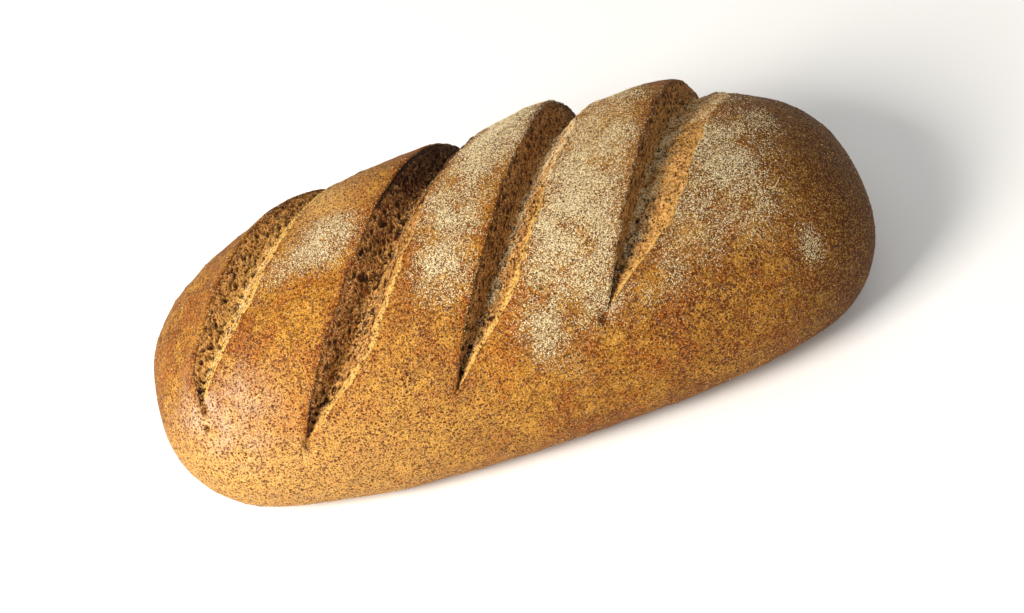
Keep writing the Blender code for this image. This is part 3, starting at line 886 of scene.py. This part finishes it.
def makeScatter(name, sources, material):
    # flat double cones with a few sides each, at random places on the skin's triangles, as many as each one's
    # area and density ask for, turned at random and laid along the skin
    kind = scatters[name]
    rng = np.random.default_rng(kind["seed"])
    corners, weights = [], []
    for points, density in sources:
        a, b, c = points[:-1, :-1], points[1:, :-1], points[1:, 1:]
        d = points[:-1, 1:]
        for triangle in ((a, b, c), (a, c, d)):
            corners.append(np.stack(triangle, axis=-2).reshape(-1, 3, 3))
            area = np.linalg.norm(np.cross(triangle[1] - triangle[0], triangle[2] - triangle[0]), axis=-1)
            weights.append((area * density[:-1, :-1]).ravel())
    corners, weights = np.concatenate(corners), np.concatenate(weights)
    chosen = corners[rng.choice(len(corners), kind["count"], p=weights / weights.sum())]
    first, second = rng.random((2, kind["count"], 1))
    fold = first + second > 1
    first, second = np.where(fold, 1 - first, first), np.where(fold, 1 - second, second)
    edgeA, edgeB = chosen[:, 1] - chosen[:, 0], chosen[:, 2] - chosen[:, 0]
    spot = chosen[:, 0] + first * edgeA + second * edgeB
    up = np.cross(edgeA, edgeB)
    up /= np.linalg.norm(up, axis=-1, keepdims=True)
    outwards = np.sign((up * (spot - (0, 0, loaf["bellyHeight"]))).sum(axis=-1, keepdims=True))
    up = up * outwards + rng.normal(0, grainTilt, up.shape)
    up /= np.linalg.norm(up, axis=-1, keepdims=True)
    side = np.cross(up, rng.normal(size=up.shape))
    side /= np.linalg.norm(side, axis=-1, keepdims=True)
    other = np.cross(up, side)
    sides = kind["sides"]
    spin = 2 * np.pi * (np.arange(sides) + rng.uniform(-0.25, 0.25, (kind["count"], sides))) / sides
    size = rng.uniform(*kind["size"], (kind["count"], 1)) * mm
    size = size * rng.uniform(0.75, 1.25, (kind["count"], sides))
    thick = rng.uniform(*kind["thick"], (kind["count"], 1)) * mm
    middle = spot - up * thick * kind["sunk"]
    rim = (middle[:, None] + side[:, None] * (size * np.cos(spin))[..., None]
           + other[:, None] * (size * np.sin(spin) * grainWidth)[..., None])
    vertices = np.concatenate([rim, (middle + up * thick)[:, None], (middle - up * thick)[:, None]], axis=1)
    near = np.arange(sides)
    after = (near + 1) % sides
    above = np.stack([near, after, near * 0 + sides], axis=-1)
    below = np.stack([after, near, near * 0 + sides + 1], axis=-1)
    starts = np.arange(kind["count"])[:, None, None] * (sides + 2)
    faces = (starts + np.concatenate([above, below])).reshape(-1, 3)
    mesh = meshFrom(name, vertices.reshape(-1, 3), faces)
    addField(mesh, "shade", np.repeat(rng.random(kind["count"]), sides + 2))
    mesh.materials.append(material)
    addPiece(name, mesh)


print("crust")
crustPiece, crustPoints, crustFlour, crustEdge = makeCrust(makeBakedMaterial("bakedCrust", crustFinish))

crumbMaterial = makeBakedMaterial("tornCrumb", crumbFinish)
tornGrids = []
for index in range(len(slashes)):
    tornGrids.append(makeTorn(index, crumbMaterial))
    print("torn slash", index + 1)

crustTree = BVHTree.FromObject(crustPiece, bpy.context.evaluated_depsgraph_get())
for name in peels:
    light, dark = peelColours["straw" if name == "straw" else "crack"]
    makePeel(name, crustTree, makeGrainMaterial(name, dark, light, 0.6))
print("hairline cracks and straw", len(peels))

# the bran lies all over, thinner on the base, and the semolina and flour where the flour's field is; more of
# each stands out of the crust's torn edges
closed = (np.concatenate([field, field[:, :1]], axis=1) for field in (crustPoints, crustFlour, crustEdge))
places, flour, edge = closed
for name, kind in scatters.items():
    material = makeGrainMaterial(name, kind["dark"], kind["light"], kind["roughness"])
    if name == "branFlakes":
        sources = [(places, 0.35 + 0.65 * (places[..., 2] > 3 * mm) + 1.5 * edge)]
    else:
        sources = [(places, np.maximum(flour - 0.07, 0) ** 1.4 + 0.0008 + 0.02 * edge)]
        sources += [(top, 0.5 * dust**1.4) for top, dust in tornGrids]
    makeScatter(name, sources, material)
    print(name, kind["count"])


# Stage, light and camera

stage = {"size": 6.0, "colour": "#F3F2EF", "roughness": 0.7}


def makeFloor():
    half = stage["size"] / 2
    mesh = bpy.data.meshes.new("floor")
    corners = [(-half, -half, 0), (half, -half, 0), (half, half, 0), (-half, half, 0)]
    mesh.from_pydata(corners, [], [(0, 1, 2, 3)])
    material, shader = newMaterial("paintedBoard", Roughness=stage["roughness"])
    shader.inputs["Base Color"].default_value = colour(stage["colour"])
    mesh.materials.append(material)
    floor = addObject("floor", mesh)


# where each light stands, in metres, its side in metres and its power in watts; all point at the loaf
lights = {
    "key": {"place": (-0.62, -0.38, 0.62), "size": 0.4, "power": 14, "colour": "#FFFAF3"},
    "fill": {"place": (0.3, -1.1, 0.6), "size": 1.1, "power": 2, "colour": "#FFFFFF"},
    "back": {"place": (0.3, 1.0, 0.9), "size": 1.0, "power": 1, "colour": "#FFFFFF"},
}
sky = {"colour": "#FFFFFF", "strength": 0.5}


def makeLights():
    for name, light in lights.items():
        data = bpy.data.lights.new(name, "AREA")
        data.size = light["size"]
        data.energy = light["power"]
        data.color = colour(light["colour"])[:3]
        lamp = addObject(name, data)
        lamp.location = light["place"]
        towards = Vector((0, 0, 50 * mm)) - lamp.location
        lamp.rotation_euler = towards.to_track_quat("-Z", "Y").to_euler()
    world = bpy.data.worlds.new("studio")
    world.use_nodes = True
    background = world.node_tree.nodes["Background"]
    background.inputs["Color"].default_value = colour(sky["colour"])
    background.inputs["Strength"].default_value = sky["strength"]
    bpy.context.scene.world = world


# the view was matched to the loaf's outline: degrees above the table and of roll, metres to the target, the
# lens and sensor in mm, and how far the aim is off the target to the right and up
shot = {"elevation": 46.0, "roll": 18.0, "distance": 0.975, "lens": 85.0, "sensor": 36.0,
        "target": Vector((0, 0, 45 * mm)), "aim": (3.39 * mm, -13.0 * mm)}


def makeCamera():
    data = bpy.data.cameras.new("camera")
    data.lens = shot["lens"]
    data.sensor_width = shot["sensor"]
    data.clip_start, data.clip_end = 0.05, 20
    up, roll = math.radians(shot["elevation"]), math.radians(shot["roll"])
    back = Vector((0, -math.cos(up), math.sin(up)))
    across = Vector((1, 0, 0))
    upward = back.cross(across)
    right = math.cos(roll) * across - math.sin(roll) * upward
    upright = math.sin(roll) * across + math.cos(roll) * upward
    place = shot["target"] + shot["distance"] * back
    aim = shot["target"] + shot["aim"][0] * right + shot["aim"][1] * upright
    away = (place - aim).normalized()
    right = upright.cross(away).normalized()
    upright = away.cross(right)
    camera = addObject("camera", data)
    camera.matrix_world = Matrix.Translation(place) @ Matrix((right, upright, away)).transposed().to_4x4()
    bpy.context.scene.camera = camera


makeFloor()
makeLights()
makeCamera()
bpy.context.scene.view_settings.view_transform = "Standard"
print("stage, lights and camera")
